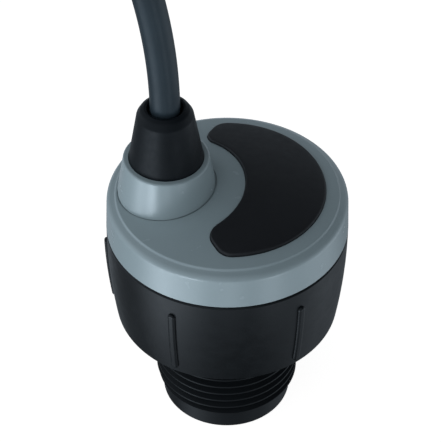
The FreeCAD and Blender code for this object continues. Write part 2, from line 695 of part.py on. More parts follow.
def crescent(sketch, grow):
    """Closed crescent: an outer arc about the axis, a hollow arc, and two straight tips."""
    outer, hollow = size("pad_outer_radius + " + grow), size("pad_inner_radius - " + grow)
    offset = size("pad_inner_offset")
    near = Vector(-size("pad_tip_outer + 2 * " + grow), 0, 0)
    near.y = math.sqrt(outer ** 2 - near.x ** 2)
    far = Vector(-size("pad_tip_inner + 2 * " + grow), 0, 0)
    far.y = math.sqrt(hollow ** 2 - (far.x + offset) ** 2)
    near_angle = math.atan2(near.y, near.x)
    far_angle = math.atan2(far.y, far.x + offset)
    big = Part.Circle(Vector(), DIRECTION_Z, outer)
    small = Part.Circle(Vector(-offset, 0, 0), DIRECTION_Z, hollow)
    rim = sketch.addGeometry(Part.ArcOfCircle(big, -near_angle, near_angle), False)
    bay = sketch.addGeometry(Part.ArcOfCircle(small, -far_angle, far_angle), False)
    back = sketch.addGeometry(Part.LineSegment(near, far), False)
    mirror_near, mirror_far = Vector(near.x, -near.y, 0), Vector(far.x, -far.y, 0)
    front = sketch.addGeometry(Part.LineSegment(mirror_far, mirror_near), False)
    for first, second in (((rim, 2), (back, 1)), ((back, 2), (bay, 2)),
                          ((bay, 1), (front, 1)), ((front, 2), (rim, 1))):
        sketch.addConstraint(Sketcher.Constraint("Coincident", *first, *second))
    pin_point(sketch, (rim, 3), "0", "0")
    pin_point(sketch, (bay, 3), "-pad_inner_offset", "0")
    for kind, geometry, value in (("Radius", rim, "pad_outer_radius + " + grow),
                                  ("Radius", bay, "pad_inner_radius - " + grow)):
        index = sketch.addConstraint(Sketcher.Constraint(kind, geometry, size(value)))
        sketch.setExpression("Constraints[%d]" % index, bound(value))
    near_x, far_x = "-pad_tip_outer - 2 * " + grow, "-pad_tip_inner - 2 * " + grow
    for point, value in (((back, 1), near_x), ((back, 2), far_x),
                         ((front, 2), near_x), ((front, 1), far_x)):
        index = sketch.addConstraint(
            Sketcher.Constraint("DistanceX", -1, 1, *point, size(value)))
        sketch.setExpression("Constraints[%d]" % index, bound(value))


def between_domes(body, name, floor_lift, top_lift):
    """Trims a prism between two copies of the dome, each raised by its lift."""
    for side, lift, level in (("under", floor_lift, "seam_height - 1"),
                              ("over", top_lift, "boss_rim_height + 1")):
        turned(body, name + "_" + side, [
            ("-crease_radius", "crease_height + (%s)" % lift, "arc"),
            ("0", "crown_height + (%s)" % lift),
            ("0", level),
            ("-crease_radius", level),
        ], cut=True)
    doc.recompute()


def crescent_body(name, grow, floor_lift, top_lift):
    """A crescent prism with rounded tips, trimmed between two lifted copies of the dome."""
    body = doc.addObject("PartDesign::Body", name)
    sketch = new_sketch(body, name + "_outline", "XY_Plane", ("0", "0", "seam_height"))
    crescent(sketch, grow)
    pad = body.newObject("PartDesign::Pad", name + "_prism")
    pad.Profile = sketch
    pad.setExpression("Length", bound("boss_rim_height - seam_height"))
    for corner in ("inner", "outer"):
        rounded(body, "%s_%s_tips" % (name, corner), "pad_%s_round + %s" % (corner, grow),
                lambda edge: is_tip_edge(edge, corner, grow))
    between_domes(body, name, floor_lift, top_lift)
    return body


def is_tip_edge(edge, corner, grow):
    """True for the upright edge at the inner or outer corner of a crescent tip."""
    if len(edge.Vertexes) != 2:
        return False
    first, last = edge.Vertexes[0].Point, edge.Vertexes[1].Point
    upright = math.hypot(first.x - last.x, first.y - last.y) < 1e-4
    return upright and abs(first.x + size("pad_tip_%s + 2 * %s" % (corner, grow))) < 0.01


def is_pad_rim(edge):
    """True for an edge that borders the pad's domed top."""
    curve = size("(crown_height - crease_height) / (crease_radius * crease_radius)")
    middle = size("crown_height + pad_rise / 2")
    for vertex in edge.Vertexes:
        point = vertex.Point
        if point.z < middle - curve * (point.x ** 2 + point.y ** 2):
            return False
    return True


def boss_crease():
    """The fine groove that frames the boss's foot, cut to an even depth below the dome."""
    body = doc.addObject("PartDesign::Body", "boss_crease")
    sketch = new_sketch(body, "crease_outline", "XY_Plane", ("-boss_offset", "0", "seam_height"))
    circle(sketch, "0", "0", "boss_foot_radius + crease_width / 4")
    circle(sketch, "0", "0", "boss_foot_radius - 3 * crease_width / 4")
    ring_pad = body.newObject("PartDesign::Pad", "crease_prism")
    ring_pad.Profile = sketch
    ring_pad.setExpression("Length", bound("boss_rim_height - seam_height"))
    between_domes(body, "crease", "-crease_depth", "0.02")
    return body


def cap_and_pad():
    """Cuts the boss's crease and the pad's recess into the cap and sets the pad in it."""
    recess = crescent_body("recess", "pad_gap", "-pad_depth", "4")
    keep(cut("cap", cap_shell(), [recess, boss_crease()]), "cap")
    pad = crescent_body("crescent_pad", "0", "0.05 - pad_depth", "pad_rise")
    rounded(pad, "pad_rim", "0.4", is_pad_rim)
    keep(pad, "crescent_pad")


def gland():
    """Rubber seal and threaded nut that grip the jacket under the boss."""
    at = "-boss_offset"
    seal = new_body("gland_seal")
    turned(seal, "grommet", ring("jacket_radius + 0.02", "gland_bore - 0.05", "gland_nut_height",
                                 "gland_roof_height - 0.05"), axis_at=at)
    nut = new_body("gland_nut")
    turned(nut, "collar", ring("jacket_radius + 0.3", "gland_bore - 0.05", "gland_foot_height",
                               "gland_nut_height - 0.05"), axis_at=at)


def cable_boot():
    """Conical rubber boot, plugged into the boss and closing round the cable."""
    body = new_body("cable_boot")
    collar = "boss_bore - 0.08"
    turned(body, "cone", [
        ("jacket_radius + slip", "boss_floor_height + 0.1"),
        (collar, "boss_floor_height + 0.1"),
        (collar, "boss_rim_height"),
        ("boot_edge_radius", "boot_edge_height - 0.4"),
        ("boot_edge_radius - 0.4", "boot_edge_height"),
        ("boot_lip_radius + 0.6", "boot_top_height - 0.3"),
        ("boot_lip_radius", "boot_top_height"),
        ("boot_mouth_radius", "boot_top_height"),
        ("boot_mouth_radius", "boot_top_height - 2"),
        ("jacket_radius + slip", "boot_top_height - 4.5"),
    ], axis_at="-boss_offset")


# --- cable -----------------------------------------------------------------------------------

CORES = [("red", 1, 1), ("black", 1, -1), ("white", -1, 1), ("green", -1, -1)]


def bent(body, name, circles, start="0", sweep="free_angle"):
    """Circles at the boot's lip, carried along the curve in which the free cable leans.
    start and sweep are angles of that curve, in degrees."""
    level = ("-boss_offset - bend_radius", "0", "boot_top_height")
    sketch = new_sketch(body, name + "_outline", "XY_Plane", level)
    for x, y, radius in circles:
        circle(sketch, "bend_radius + (%s)" % x, y, radius)
    feature = body.newObject("PartDesign::Revolution", name)
    feature.Profile = sketch
    feature.ReferenceAxis = (sketch, ["V_Axis"])
    feature.setExpression("Angle", bound(sweep))
    feature.Reversed = True
    if start != "0":
        lean_body(body, start)
    return feature


def lean_body(body, angle):
    """Carries a whole body along the cable's curve by an angle, in degrees."""
    pivot = Vector(-size("boss_offset + bend_radius"), 0, size("boot_top_height"))
    turn = Rotation(Vector(0, 1, 0), -size(angle))
    body.Placement = Placement(pivot - turn.multVec(pivot), turn)


def free_cable():
    """The cable beyond the boot: jacket, shield, four conductors and their bare strands."""
    jacket = new_body("cable_jacket")
    turned(jacket, "ball_end", [
        ("0", "boot_top_height"),
        ("0", "boot_top_height - jacket_radius", "arc"),
        ("jacket_radius", "boot_top_height"),
    ], axis_at="-boss_offset")
    bent(jacket, "tube", [("0", "0", "jacket_radius"), ("0", "0", "jacket_bore")])
    shield = new_body("cable_shield")
    bent(shield, "tube", [("0", "0", "jacket_bore - 0.02"), ("0", "0", "shield_bore")],
         sweep="free_angle + 0.6")
    for colour, side, depth in CORES:
        core = new_body("lead_" + colour)
        spot = ("%d * core_offset" % side, "%d * core_offset" % depth, "core_radius")
        bent(core, "insulation", [spot], sweep="free_angle + strip_angle")
    strands = new_body("bare_strands")
    spots = [("%d * core_offset" % side, "%d * core_offset" % depth, "strand_radius")
             for _, side, depth in CORES]
    bent(strands, "strands", spots, start="free_angle + strip_angle", sweep="strand_angle")


def cable_tail():
    """The fixed end of the cable, from inside the boot down to the upper board."""
    end = "boot_top_height - jacket_radius - slip"
    at = "-boss_offset"
    turned(new_body("jacket_tail"), "tube", ring("jacket_bore", "jacket_radius", "tail_height", end),
           axis_at=at)
    turned(new_body("shield_tail"), "tube",
           ring("shield_bore", "jacket_bore - 0.02", "tail_height - 0.6", end), axis_at=at)
    slots = {"red": -0.5, "black": 0.5, "white": -1.5, "green": 1.5}
    for colour, side, depth in CORES:
        conductor(colour, side, depth, -slots[colour] * size("plug_pitch"), size(end))


def conductor(colour, side, depth, plug_y, top):
    """One conductor: straight down the cable, then a curve into its place in the plug."""
    x = -size("boss_offset") + side * size("core_offset")
    y = depth * size("core_offset")
    corner = Vector(x, y, size("tail_height"))
    enter = Vector(size("plug_face"), plug_y, size("plug_height"))
    stop = Vector(enter.x + 4.2, plug_y, enter.z)
    reach, lift = (6.0, 0.9) if side > 0 else (3.5, -0.7)
    drift = 0.55 * (enter.y - corner.y)
    middle = Vector(corner.x + reach, corner.y + drift, enter.z + lift)
    curve = Part.BSplineCurve()
    curve.interpolate(Points=[corner, middle, enter],
                      Tangents=[Vector(0, 0, -8), Vector(9, drift / 2, 0), Vector(9, 0, 0)],
                      TangentFlags=[True, True, True])
    path = Part.Wire([Part.LineSegment(Vector(x, y, top), corner).toShape(), curve.toShape(),
                      Part.LineSegment(enter, stop).toShape()])
    profile = Part.Wire(Part.Circle(Vector(x, y, top), DIRECTION_Z, size("core_radius")).toShape())
    item = doc.addObject("Part::Feature", "conductor_" + colour)
    item.Shape = path.makePipeShell([profile], True, False)
    item.Placement = Placement()
    keep(item, "conductor_" + colour)


# --- circuit boards and what stands on them ----------------------------------------------------

def board(label, height, holes):
    """A round board with its three screw holes and any further holes."""
    body = new_body(label)
    top = height + " + board_thickness"
    turned(body, "disc", ring("0", "board_radius", height, top))
    x, y = "post_circle * cos(post_phase)", "post_circle * sin(post_phase)"
    hole = drilled(body, "screw_hole", x, y, "board_hole", top, "board_thickness")
    around(body, "screw_holes", hole, BOLTS)
    for index, (x, y, radius) in enumerate(holes):
        drilled(body, "via_%d" % index, x, y, radius, top, "board_thickness")


def board_hardware():
    """Three standoffs between the boards and the screws that hold the upper one."""
    low = "power_board_height + board_thickness"
    standoffs = new_body("board_standoffs", "post_phase")
    standoff = turned(standoffs, "standoff", [
        ("0", "power_board_height - stud_length"),
        ("shank_radius", "power_board_height - stud_length"),
        ("shank_radius", low),
        ("standoff_radius", low),
        ("standoff_radius", "logic_board_height"),
        ("post_hole", "logic_board_height"),
        ("post_hole", "logic_board_height - stud_length"),
        ("0", "logic_board_height - stud_length"),
    ], axis_at="post_circle")
    around(standoffs, "standoffs", standoff, BOLTS)
    high = "logic_board_height + board_thickness"
    screws = new_body("board_screws", "post_phase")
    screw = turned(screws, "screw", [
        ("0", "logic_board_height - shank_length"),
        ("shank_radius", "logic_board_height - shank_length"),
        ("shank_radius", high),
        ("head_radius", high),
        ("head_radius", high + " + head_rim"),
        ("head_radius - 0.6", high + " + head_height"),
        ("socket_radius", high + " + head_height"),
        ("socket_radius", high + " + socket_floor"),
        ("0", high + " + socket_floor"),
    ], axis_at="post_circle")
    around(screws, "screws", screw, BOLTS)


def power_parts():
    """Pulse transformer, reservoir capacitors and chips on the lower board."""
    top = "power_board_height + board_thickness"
    sides = ("-coil_offset", "coil_offset")
    core = block("core", "0", "transformer_y", top, "11", "9", "6.4")
    windows = [block("window", x, "transformer_y", top + " + 1.4", "2.2", "10", "3.6")
               for x in sides]
    keep(cut("transformer_core", core, windows), "transformer_core")
    coils = [block("coil", x, "transformer_y", top + " + 1.45", "2", "11", "3.5") for x in sides]
    group("transformer_winding", coils)
    cans = [rod("can", x, "-1", "can_radius", top, top + " + can_height")
            for x in ("-can_offset", "can_offset")]
    group("capacitors", cans)
    chips = [block("chip", "11", "8", top, "5", "4", "1.5"),
             block("chip", "-11", "8", top, "5", "4", "1.5"),
             block("chip", "0", "-4.5", top, "6", "5", "1.2")]
    group("power_chips", chips)
    body_of_header = block("header", "0", "header_y", top, "10.4", "2.4",
                           "logic_board_height - power_board_height - board_thickness")
    places = ["%d * pin_pitch" % (index - PINS // 2) for index in range(PINS)]
    bores = [rod("pin_bore", x, "header_y", "pin_bore", top, "logic_board_height")
             for x in places]
    keep(cut("board_header", body_of_header, bores), "board_header")
    pins = [rod("pin", x, "header_y", "pin_radius", "power_board_height - pin_reach",
                "logic_board_height + board_thickness + pin_reach")
            for x in places]
    group("header_pins", pins)
    return [(x, "header_y", "via_radius") for x in places]


def logic_parts():
    """Chips on the upper board, and the socket and plug of the cable's wires."""
    top = "logic_board_height + board_thickness"
    chips = [block("chip", "-3", "10", top, "7", "7", "1.1"),
             block("chip", "8", "11.5", top, "5", "4", "1.5"),
             block("chip", "8.5", "-11", top, "5", "4", "1.5"),
             block("crystal", "-12", "9", top, "5", "3.2", "1.2")]
    group("logic_chips", chips)
    shell = block("socket_shell", "8", "0", top, "6", "10.4", "4.8")
    hollow = block("socket_hollow", "6.5", "0", top + " + 0.8", "6", "8.8", "3.3")
    keep(cut("wire_socket", shell, [hollow]), "wire_socket")
    plug = block("plug", "plug_face + 3.45", "0", "plug_height - 1.55", "6.9", "8.6", "3.1")
    wires = []
    for index in range(WIRES):
        bore = doc.addObject("Part::Cylinder", "wire_bore")
        bore.setExpression("Radius", bound("core_radius + 0.05"))
        bore.Height = 4.4
        bore.Placement = Placement(Vector(0, 0, 0), Rotation(Vector(0, 1, 0), 90))
        bore.setExpression("Placement.Base.x", bound("plug_face - 0.1"))
        bore.setExpression("Placement.Base.y", bound("(%s) * plug_pitch" % (index - (WIRES - 1) / 2)))
        bore.setExpression("Placement.Base.z", bound("plug_height"))
        wires.append(bore)
    keep(cut("wire_plug", plug, wires), "wire_plug")


# --- checks and export --------------------------------------------------------------------------

def check_document():
    """Stops with a plain message if anything in the document failed."""
    for item in doc.Objects:
        if "Invalid" in item.State or "Error" in item.State:
            raise RuntimeError("%s (%s) failed: %s" % (item.Name, item.Label, item.State))
    for item in sub_parts:
        if item.Shape.isNull() or not item.Shape.isValid() or not item.Shape.Solids:
            raise RuntimeError("%s has no valid solid" % item.Label)


def export_parts():
    """One STEP file for each sub-part, named by its label."""
    os.makedirs("parts", exist_ok=True)
    for item in sub_parts:
        item.Shape.exportStep(os.path.join("parts", item.Label + ".step"))


fill_sheet()
threaded_barrel()
transducer()
thermistor()
housing()
seals_and_nut()
cap_and_pad()
gland()
cable_boot()
free_cable()
cable_tail()
pin_holes = power_parts()
board("power_board", "power_board_height", pin_holes)
board("logic_board", "logic_board_height", pin_holes)
board_hardware()
logic_parts()
doc.recompute()
check_document()
export_parts()
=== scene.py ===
"""Looks for the ultrasonic distance sensor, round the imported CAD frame. Lengths are in millimetres."""

import math

import bpy
import numpy as np
from mathutils import Matrix, Vector
from mathutils.geometry import delaunay_2d_cdt


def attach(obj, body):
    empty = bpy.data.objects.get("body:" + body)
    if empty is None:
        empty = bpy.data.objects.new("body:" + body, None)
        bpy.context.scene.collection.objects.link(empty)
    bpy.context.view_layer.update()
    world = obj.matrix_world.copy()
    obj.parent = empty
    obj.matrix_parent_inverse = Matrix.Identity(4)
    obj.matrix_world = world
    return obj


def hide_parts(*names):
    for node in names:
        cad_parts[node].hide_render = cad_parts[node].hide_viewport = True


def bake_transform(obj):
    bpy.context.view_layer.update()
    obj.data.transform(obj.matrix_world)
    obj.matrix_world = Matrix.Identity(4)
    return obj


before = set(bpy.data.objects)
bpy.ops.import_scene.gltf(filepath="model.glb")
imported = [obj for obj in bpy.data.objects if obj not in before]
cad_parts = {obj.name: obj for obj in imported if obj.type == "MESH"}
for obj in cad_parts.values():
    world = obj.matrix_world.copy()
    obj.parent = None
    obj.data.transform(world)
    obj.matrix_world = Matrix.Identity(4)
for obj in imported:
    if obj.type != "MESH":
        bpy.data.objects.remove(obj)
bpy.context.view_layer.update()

MM = 0.001
TURN = 2 * math.pi

# ---------------------------------------------------------------- node graphs

NOISE_LOW, NOISE_HIGH = 0.3, 0.7  # most of a noise pattern's values lie between these


class Graph:
    """A short way to write shader nodes: g.add(kind, inputs, settings) makes a node and returns it."""

    def __init__(self, tree):
        self.tree = tree
        tree.nodes.clear()

    def add(self, kind, inputs=None, **settings):
        node = self.tree.nodes.new(kind)
        for key, value in settings.items():
            setattr(node, key, value)
        for key, value in (inputs or {}).items():
            socket = node.inputs[key]
            if isinstance(value, bpy.types.NodeSocket):
                self.tree.links.new(value, socket)
            else:
                socket.default_value = value
        return node

    def math(self, operation, a, b=0.0, clamp=False):
        node = self.add("ShaderNodeMath", {0: a, 1: b}, operation=operation, use_clamp=clamp)
        return node.outputs[0]

    def mix(self, factor, a, b, blend="MIX"):
        node = self.add("ShaderNodeMix", data_type="RGBA", blend_type=blend)
        for index, value in ((0, factor), (6, a), (7, b)):
            if isinstance(value, bpy.types.NodeSocket):
                self.tree.links.new(value, node.inputs[index])
            else:
                node.inputs[index].default_value = value
        return node.outputs[2]

    def noise(self, vector, scale, detail=3.0, rough=0.55):
        node = self.add("ShaderNodeTexNoise", {
            "Vector": vector, "Scale": scale, "Detail": detail, "Roughness": rough})
        return node.outputs["Fac"]

    def spread(self, value, low, high):
        """A noise value mapped onto the range from low to high."""
        node = self.add("ShaderNodeMapRange", {
            "Value": value, "From Min": NOISE_LOW, "From Max": NOISE_HIGH, "To Min": low, "To Max": high})
        return node.outputs["Result"]

    def bump(self, height, distance, strength=1.0, normal=None):
        inputs = {"Height": height, "Distance": distance, "Strength": strength}
        if normal is not None:
            inputs["Normal"] = normal
        return self.add("ShaderNodeBump", inputs).outputs["Normal"]


WHITE = (1.0, 1.0, 1.0)


def rgba(color):
    return (*color, 1.0)


# ---------------------------------------------------------------- materials


BRAID_ANGLE = 38  # degrees either side of the cable


def bands(g, place, pitch, distortion, direction):
    wave = g.add("ShaderNodeTexWave", {"Vector": place, "Scale": 1 / pitch / MM, "Distortion": distortion},
                 bands_direction=direction)
    return wave.outputs["Fac"]


def weave(g, place, pitch):
    """Crossed diagonal ridges, for a braid."""
    ridges = []
    for angle in (math.radians(BRAID_ANGLE), math.radians(-BRAID_ANGLE)):
        turned = g.add("ShaderNodeVectorRotate", {"Vector": place, "Angle": angle}, rotation_type="X_AXIS")
        ridges.append(bands(g, turned.outputs[0], pitch, 0.3, "Z"))
    return g.math("MAXIMUM", *ridges)


def coils(g, place, pitch):
    """Parallel turns of wire."""
    return bands(g, place, pitch, 0.1, "Y")


def tracks(g, place, pitch):
    """Square cells that read as copper tracks under solder mask."""
    brick = g.add("ShaderNodeTexBrick", {"Vector": place, "Scale": 1 / pitch / MM, "Mortar Size": 0.06})
    return brick.outputs["Fac"]


PLASTIC_IOR = 1.46


def finish_material(name, color, rough, grain=(2600, 0.012), mottle=(90, 0.06), metal=0.0, shine=0.5,
                    rough_swing=0.05, pattern=None, pattern_color=None, pattern_depth=0.0):
    """A moulded, rubbery, ceramic or metal surface, with colour drift, fine grain and uneven gloss.

    grain is the scale and depth of the fine bumps, mottle the scale and amount of the drift, and pattern a
    function that adds ridges or tracks, with their colour and depth.
    """
    material = bpy.data.materials.new(name + "_finish")
    material.use_nodes = True
    g = Graph(material.node_tree)
    place = g.add("ShaderNodeTexCoord").outputs["Object"]
    scale, amount = mottle
    drift = g.noise(place, scale)
    fine = g.noise(place, grain[0], detail=4.0, rough=0.6)
    swing = g.math("ADD", g.spread(drift, -amount, amount), g.spread(fine, -amount / 2, amount / 2))
    level = g.math("ADD", swing, 1.0)
    base = g.add("ShaderNodeVectorMath", {0: color, "Scale": level}, operation="SCALE").outputs[0]
    normal = g.bump(fine, grain[1] * MM, 1.0)
    if pattern is not None:
        shape = pattern(g, place)
        base = g.mix(shape, base, rgba(pattern_color))
        normal = g.bump(shape, pattern_depth * MM, 1.0, normal)
    gloss = g.math("ADD", g.spread(g.noise(place, scale * 5), -rough_swing, rough_swing), rough)
    shader = g.add("ShaderNodeBsdfPrincipled", {
        "Base Color": base, "Roughness": gloss, "Metallic": metal, "IOR": PLASTIC_IOR,
        "Specular IOR Level": shine, "Normal": normal})
    g.add("ShaderNodeOutputMaterial", {"Surface": shader.outputs[0]})
    return material


FINISHES = {
    "cap_plastic": dict(color=(0.342, 0.402, 0.407), rough=0.26, shine=0.66, grain=(1700, 0.002),
                        mottle=(60, 0.02), rough_swing=0.015),
    "pad_rubber": dict(color=(0.0096, 0.0096, 0.0112), rough=0.50, shine=0.45,
                       grain=(3000, 0.012), mottle=(120, 0.12)),
    "housing_plastic": dict(color=(0.0055, 0.0072, 0.0086), rough=0.36, shine=0.27,
                            grain=(2600, 0.010), mottle=(70, 0.08)),
    "barrel_plastic": dict(color=(0.0098, 0.0112, 0.0124), rough=0.38, shine=0.13,
                           grain=(2600, 0.010), mottle=(70, 0.08)),
    "boot_rubber": dict(color=(0.0062, 0.0082, 0.0102), rough=0.46, shine=0.16,
                        grain=(3400, 0.012), mottle=(140, 0.10)),
    "jacket_pvc": dict(color=(0.0310, 0.0440, 0.0530), rough=0.36, shine=0.16,
                       grain=(2800, 0.010), mottle=(110, 0.07)),
    "seal_rubber": dict(color=(0.0120, 0.0120, 0.0130), rough=0.48,
                        grain=(3600, 0.015), mottle=(160, 0.12)),
    "matching_epoxy": dict(color=(0.055, 0.057, 0.060), rough=0.50,
                           grain=(1900, 0.020), mottle=(260, 0.10)),
    "piezo_ceramic": dict(color=(0.46, 0.42, 0.33), rough=0.45, grain=(3200, 0.010), mottle=(300, 0.08)),
    "sleeve_silicone": dict(color=(0.060, 0.062, 0.066), rough=0.60,
                            grain=(2400, 0.020), mottle=(200, 0.10)),
    "backing_epoxy": dict(color=(0.030, 0.034, 0.040), rough=0.55, grain=(1500, 0.060), mottle=(420, 0.25)),
    "potting_resin": dict(color=(0.022, 0.020, 0.018), rough=0.22, grain=(900, 0.030), mottle=(140, 0.15)),
    "sensor_epoxy": dict(color=(0.030, 0.026, 0.022), rough=0.30, grain=(2600, 0.010), mottle=(300, 0.12)),
    "ferrite": dict(color=(0.045, 0.045, 0.048), rough=0.55, grain=(2600, 0.020), mottle=(400, 0.15)),
    "capacitor_can": dict(color=(0.60, 0.61, 0.63), rough=0.28, metal=1.0,
                          grain=(2600, 0.006), mottle=(200, 0.05)),
    "chip_black": dict(color=(0.016, 0.016, 0.018), rough=0.45, grain=(4200, 0.010), mottle=(300, 0.10)),
    "brass": dict(color=(0.72, 0.52, 0.22), rough=0.26, metal=1.0, grain=(2600, 0.006), mottle=(200, 0.06)),
    "screw_steel": dict(color=(0.62, 0.63, 0.66), rough=0.28, metal=1.0,
                        grain=(2600, 0.006), mottle=(200, 0.06)),
    "copper": dict(color=(0.80, 0.42, 0.27), rough=0.30, metal=1.0,
                   grain=(3600, 0.008), mottle=(260, 0.08)),
    "connector_white": dict(color=(0.72, 0.70, 0.64), rough=0.40, grain=(2600, 0.010), mottle=(120, 0.03)),
    "wire_red": dict(color=(0.42, 0.022, 0.018), rough=0.36, grain=(2600, 0.008), mottle=(150, 0.05)),
    "wire_black": dict(color=(0.012, 0.012, 0.013), rough=0.36, grain=(2600, 0.008), mottle=(150, 0.08)),
    "wire_white": dict(color=(0.74, 0.74, 0.71), rough=0.36, grain=(2600, 0.008), mottle=(150, 0.03)),
    "wire_green": dict(color=(0.020, 0.200, 0.055), rough=0.36, grain=(2600, 0.008), mottle=(150, 0.05)),
    "shield_braid": dict(color=(0.52, 0.50, 0.47), rough=0.32, metal=1.0, grain=(2600, 0.006),
                         pattern=lambda g, p: weave(g, p, 0.9), pattern_depth=0.12,
                         pattern_color=(0.70, 0.68, 0.64)),
    "winding_wire": dict(color=(0.30, 0.10, 0.040), rough=0.30, metal=0.8, grain=(2600, 0.006),
                         pattern=lambda g, p: coils(g, p, 0.35), pattern_depth=0.10,
                         pattern_color=(0.62, 0.28, 0.12)),
    "circuit_board": dict(color=(0.010, 0.085, 0.038), rough=0.32, grain=(2600, 0.008),
                          pattern=lambda g, p: tracks(g, p, 2.6), pattern_depth=0.03,
                          pattern_color=(0.018, 0.150, 0.065)),
}
MATERIALS = {slot: finish_material(slot, **spec) for slot, spec in FINISHES.items()}

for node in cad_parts.values():
    for index, old in enumerate(node.data.materials):
        node.data.materials[index] = MATERIALS[old.name]


# ---------------------------------------------------------------- mesh tools


def piece(name, points, faces, slot, body, *stands_for):
    """A smooth-shaded mesh piece from points in millimetres, riding a body and standing for CAD nodes."""
    mesh = bpy.data.meshes.new(name)
    metres = (np.asarray(points, float) * MM).tolist()
    mesh.from_pydata(metres, [], [tuple(int(i) for i in f) for f in faces])
    mesh.polygons.foreach_set("use_smooth", [True] * len(mesh.polygons))
    mesh.materials.append(MATERIALS[slot])
    obj = bpy.data.objects.new(name, mesh)
    bpy.context.scene.collection.objects.link(obj)
    if body:
        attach(obj, body)
    if stands_for:
        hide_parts(*stands_for)
    return obj


def arc(centre, radius, start, end, steps):
    """Points of a circular arc between two angles in radians."""
    angles = np.linspace(start, end, steps + 1)
    return np.stack([centre[0] + radius * np.cos(angles), centre[1] + radius * np.sin(angles)], 1)


def rounded_profile(corners, steps=8):
    """A closed profile of (radius, height, fillet) corners with each corner turned into an arc."""
    points = []
    count = len(corners)
    for i, (r, z, fillet) in enumerate(corners):
        here = np.array((r, z))
        before = np.array(corners[i - 1][:2]) - here
        after = np.array(corners[(i + 1) % count][:2]) - here
        if fillet <= 0:
            points.append(here)
            continue
        u, v = before / np.linalg.norm(before), after / np.linalg.norm(after)
        half = math.acos(float(np.clip(u @ v, -1, 1))) / 2
        reach = fillet / math.tan(half)
        centre = here + (u + v) / np.linalg.norm(u + v) * fillet / math.sin(half)
        first, last = here + u * reach - centre, here + v * reach - centre
        a0 = math.atan2(first[1], first[0])
        sweep = (math.atan2(last[1], last[0]) - a0 + math.pi) % TURN - math.pi
        for k in range(steps + 1):
            a = a0 + sweep * k / steps
            points.append(centre + fillet * np.array((math.cos(a), math.sin(a))))
    return np.array(points)


def strips(rows, columns, close_rows=True, close_columns=True):
    """Quads of a grid of points, wrapped round in either direction."""
    faces = []
    for i in range(rows if close_rows else rows - 1):
        a, b = i * columns, (i + 1) % rows * columns
        for j in range(columns if close_columns else columns - 1):
            k = (j + 1) % columns
            faces.append((a + j, a + k, b + k, b + j))
    return faces


def lathe(profile, centre=(0.0, 0.0), turns=192):
    """A closed (radius, height) profile, running anticlockwise, turned about an upright axis."""
    angles = np.arange(turns) * TURN / turns
    r, z = profile[:, 0], profile[:, 1]
    points = np.stack([
        centre[0] + np.outer(np.cos(angles), r), centre[1] + np.outer(np.sin(angles), r),
        np.outer(np.ones(turns), z)], 2)
    return points.reshape(-1, 3), strips(turns, len(profile))


# ---------------------------------------------------------------- cap top surface

CREASE_RADIUS = 24.33
CREASE_HEIGHT = 61.27
CROWN_HEIGHT = 64.03
CROWN_RISE = CROWN_HEIGHT - CREASE_HEIGHT
DOME_RADIUS = (CREASE_RADIUS ** 2 + CROWN_RISE ** 2) / (2 * CROWN_RISE)
BOSS_X = -13.1


def dome(x, y):
    """Height of the domed top above a point."""
    return CROWN_HEIGHT - DOME_RADIUS + np.sqrt(DOME_RADIUS ** 2 - np.square(x) - np.square(y))


# ---------------------------------------------------------------- cable and boot

CABLE_RADIUS = 3.2
BEND_RADIUS = 140.0
EXIT = (BOSS_X, 84.9)
JACKET_TAIL_HEIGHT = 53.4
JACKET_BORE = 2.5
JACKET_END = BEND_RADIUS * math.radians(28.0)
CUT_ROUND = 0.25
CUT_DEPTH = 3.0
CORES = [("red", 1, 1), ("black", 1, -1), ("white", -1, 1), ("green", -1, -1)]
CORE_OFFSET = 0.82
CORE_RADIUS = 0.75
CORE_ROUND = 0.1
CORE_END = BEND_RADIUS * math.radians(33.0)
BRAID_WALL = 0.17
BRAID_REACH = 1.4  # how far the braid shows past the jacket
STRANDS = 6  # round the middle one
BUNDLE_RADIUS = 0.45
STRAND_LENGTH = 3.8
STRAND_STAGGER = 0.15


def cable_axis(distance):
    """Point of the cable's axis at a distance past the boot's mouth; it runs straight down before it."""
    distance = np.asarray(distance, float)
    turn = np.maximum(distance, 0) / BEND_RADIUS
    x = EXIT[0] - BEND_RADIUS * (1 - np.cos(turn))
    z = EXIT[1] + BEND_RADIUS * np.sin(turn) + np.minimum(distance, 0)
    return np.stack([x, np.zeros_like(x), z], -1)


def cable_blend(obj):
    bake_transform(obj)


def cable_tube(profile, offset=(0.0, 0.0), around=48):
    """A rod or tube along the cable's curve, from (distance, radius) pairs, with a point closing each end.

    offset is the rod's own axis, across the bend and along the hinge.
    """
    profile = np.asarray(profile, float)
    distance, radius = profile[:, 0], profile[:, 1]
    turn = np.maximum(distance, 0) / BEND_RADIUS
    across = np.stack([np.cos(turn), np.zeros_like(turn), np.sin(turn)], -1)
    along_hinge = np.array((0.0, 1.0, 0.0))
    centre = cable_axis(distance) + across * offset[0] + along_hinge * offset[1]
    angles = np.arange(around) * TURN / around
    rings = centre[:, None] + radius[:, None, None] * (
        across[:, None] * np.cos(angles)[None, :, None] + along_hinge * np.sin(angles)[None, :, None])
    points = np.concatenate([rings.reshape(-1, 3), centre[:1], centre[-1:]])
    faces = strips(len(profile), around, close_rows=False)
    first, last = len(points) - 2, len(points) - 1
    base = (len(profile) - 1) * around
    for j in range(around):
        k = (j + 1) % around
        faces.append((first, k, j))
        faces.append((last, base + j, base + k))
    return points, faces


def rounded_end(end, radius, fillet, steps):
    """(distance, radius) pairs that round off the outer edge of a cut end."""
    return [(end - fillet * (1 - math.sin(a)), radius - fillet * (1 - math.cos(a)))
            for a in np.linspace(0, math.pi / 2, steps)]


